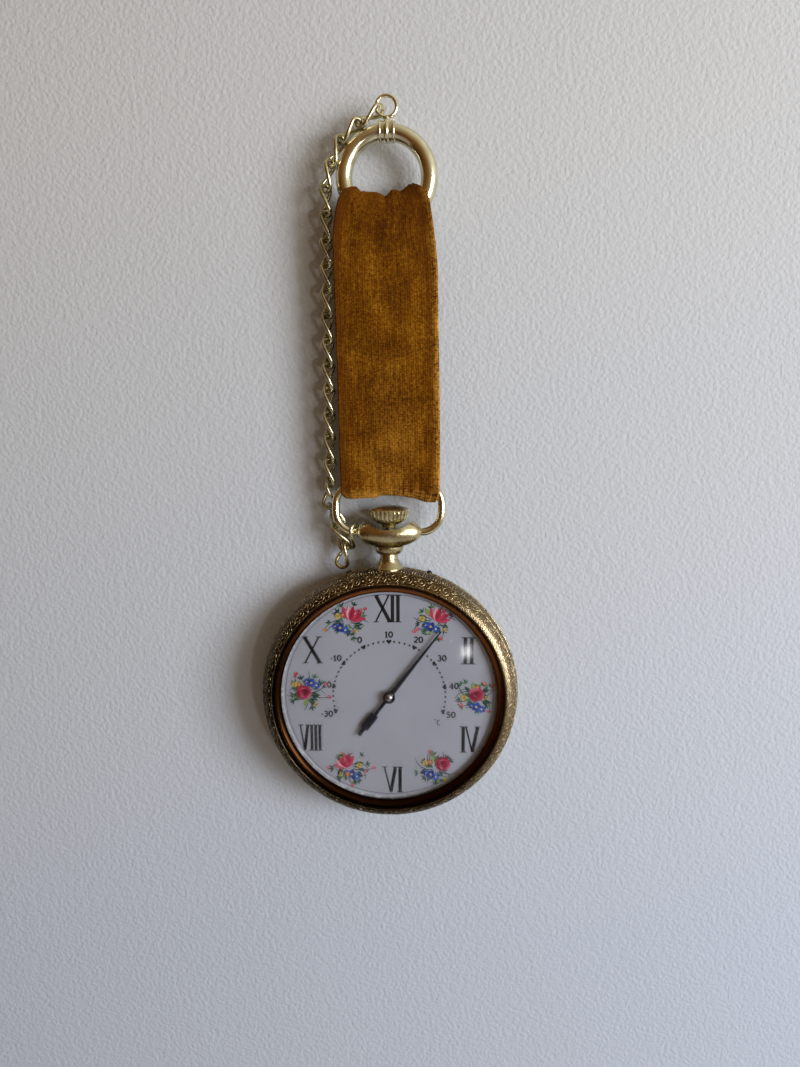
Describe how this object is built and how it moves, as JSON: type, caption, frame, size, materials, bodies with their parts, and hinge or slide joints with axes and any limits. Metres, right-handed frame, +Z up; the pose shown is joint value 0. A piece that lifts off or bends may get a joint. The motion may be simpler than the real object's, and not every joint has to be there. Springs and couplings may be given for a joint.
{
  "type": "pocket watch thermometer",
  "caption": "Hanging wall thermometer shaped as a large pocket watch, on a velvet strap with a bolt ring and a curb chain.",
  "frame": {"origin": "centre of the hanging eye, where the wall nail carries the object", "axes": "+Z up along the hanging object, the dial faces -Y, the flat back of the case faces +Y, +X to the right seen from the front"},
  "size_m": [0.1, 0.0216, 0.2699],
  "materials": {
    "gold_plate": "pale gold plating, polished",
    "chain_gold": "pale gold plating, polished",
    "crown_gold": "pale gold plating with dark flutes",
    "velvet": "ochre velvet ribbon, worn paler along its edges",
    "antique_bronze": "antique bronze with engraved scrolls and a polished cove",
    "case_brass": "satin brass",
    "movement_brass": "satin brass",
    "glass": "clear polished glass",
    "gasket_grey": "soft light grey",
    "dial_white": "satin white enamel with a printed scale and flowers",
    "screw_steel": "satin steel",
    "spring_steel": "spring steel wire",
    "arm_steel": "satin steel",
    "bimetal": "bare bimetal strip, coppery",
    "blued_steel": "blue-black pointer",
    "black_lacquer": "black gloss",
    "cap_steel": "polished steel"
  },
  "bodies": {
    "hanger": {"hanging_eye": "gold_plate", "ring_collar": "gold_plate", "ring_tube": "gold_plate", "bolt_spring": "spring_steel", "chain_top": "chain_gold"},
    "ring_bolt": {"ring_bolt": "gold_plate", "bolt_lug": "gold_plate"},
    "strap": {"velvet_strap": "velvet", "chain_side": "chain_gold"},
    "bow": {"bow": "gold_plate", "chain_end": "chain_gold"},
    "case": {"bezel": "antique_bronze", "crystal": "glass", "crystal_gasket": "gasket_grey", "dial_plate": "dial_white", "case_band": "case_brass", "rear_cover": "case_brass", "rim_screws": "screw_steel", "pendant_foot": "gold_plate", "pendant_head": "gold_plate", "pendant_stud": "screw_steel", "pendant_nut": "screw_steel", "movement_frame": "movement_brass", "frame_screws": "screw_steel", "frame_pillars": "movement_brass", "rear_bridge": "movement_brass", "bridge_screws": "screw_steel", "front_bush": "movement_brass", "rear_bush": "movement_brass", "setting_arm": "arm_steel", "coil_post": "arm_steel", "bimetal_coil": "bimetal"},
    "crown": {"crown": "crown_gold", "crown_stem": "screw_steel"},
    "pointer": {"pointer": "blued_steel", "pointer_collet": "black_lacquer", "pointer_cap": "cap_steel", "pointer_arbor": "screw_steel", "coil_collet": "movement_brass"}
  },
  "joints": [
    {"name": "bolt_slide", "type": "hinge", "parent": "hanger", "child": "ring_bolt", "pos_m": [0, 0, -0.0237], "axis": [0, 1, 0], "range_deg": [0, 28], "stiffness_Nm_per_rad": 0.02, "springref_deg": -20.05, "deforming": ["bolt_spring"]},
    {"name": "strap_swing", "type": "hinge", "parent": "hanger", "child": "strap", "pos_m": [0, 0, -0.039], "axis": [1, 0, 0], "range_deg": [-25, 25], "deforming": ["velvet_strap", "chain_side"]},
    {"name": "bow_swing", "type": "hinge", "parent": "strap", "child": "bow", "pos_m": [0, 0, -0.134], "axis": [1, 0, 0], "range_deg": [-60, 60], "deforming": ["velvet_strap", "chain_side"]},
    {"name": "case_swing", "type": "hinge", "parent": "bow", "child": "case", "pos_m": [0, 0, -0.152], "axis": [1, 0, 0], "range_deg": [-60, 60]},
    {"name": "crown_turn", "type": "hinge", "parent": "case", "child": "crown", "pos_m": [0, 0, -0.15], "axis": [0, 0, 1], "continuous": true},
    {"name": "pointer_turn", "type": "hinge", "parent": "case", "child": "pointer", "pos_m": [0, 0, -0.2156], "axis": [0, 1, 0], "range_deg": [-147.3, 72.3], "stiffness_Nm_per_rad": 0.0004, "deforming": ["bimetal_coil"]}
  ]
}
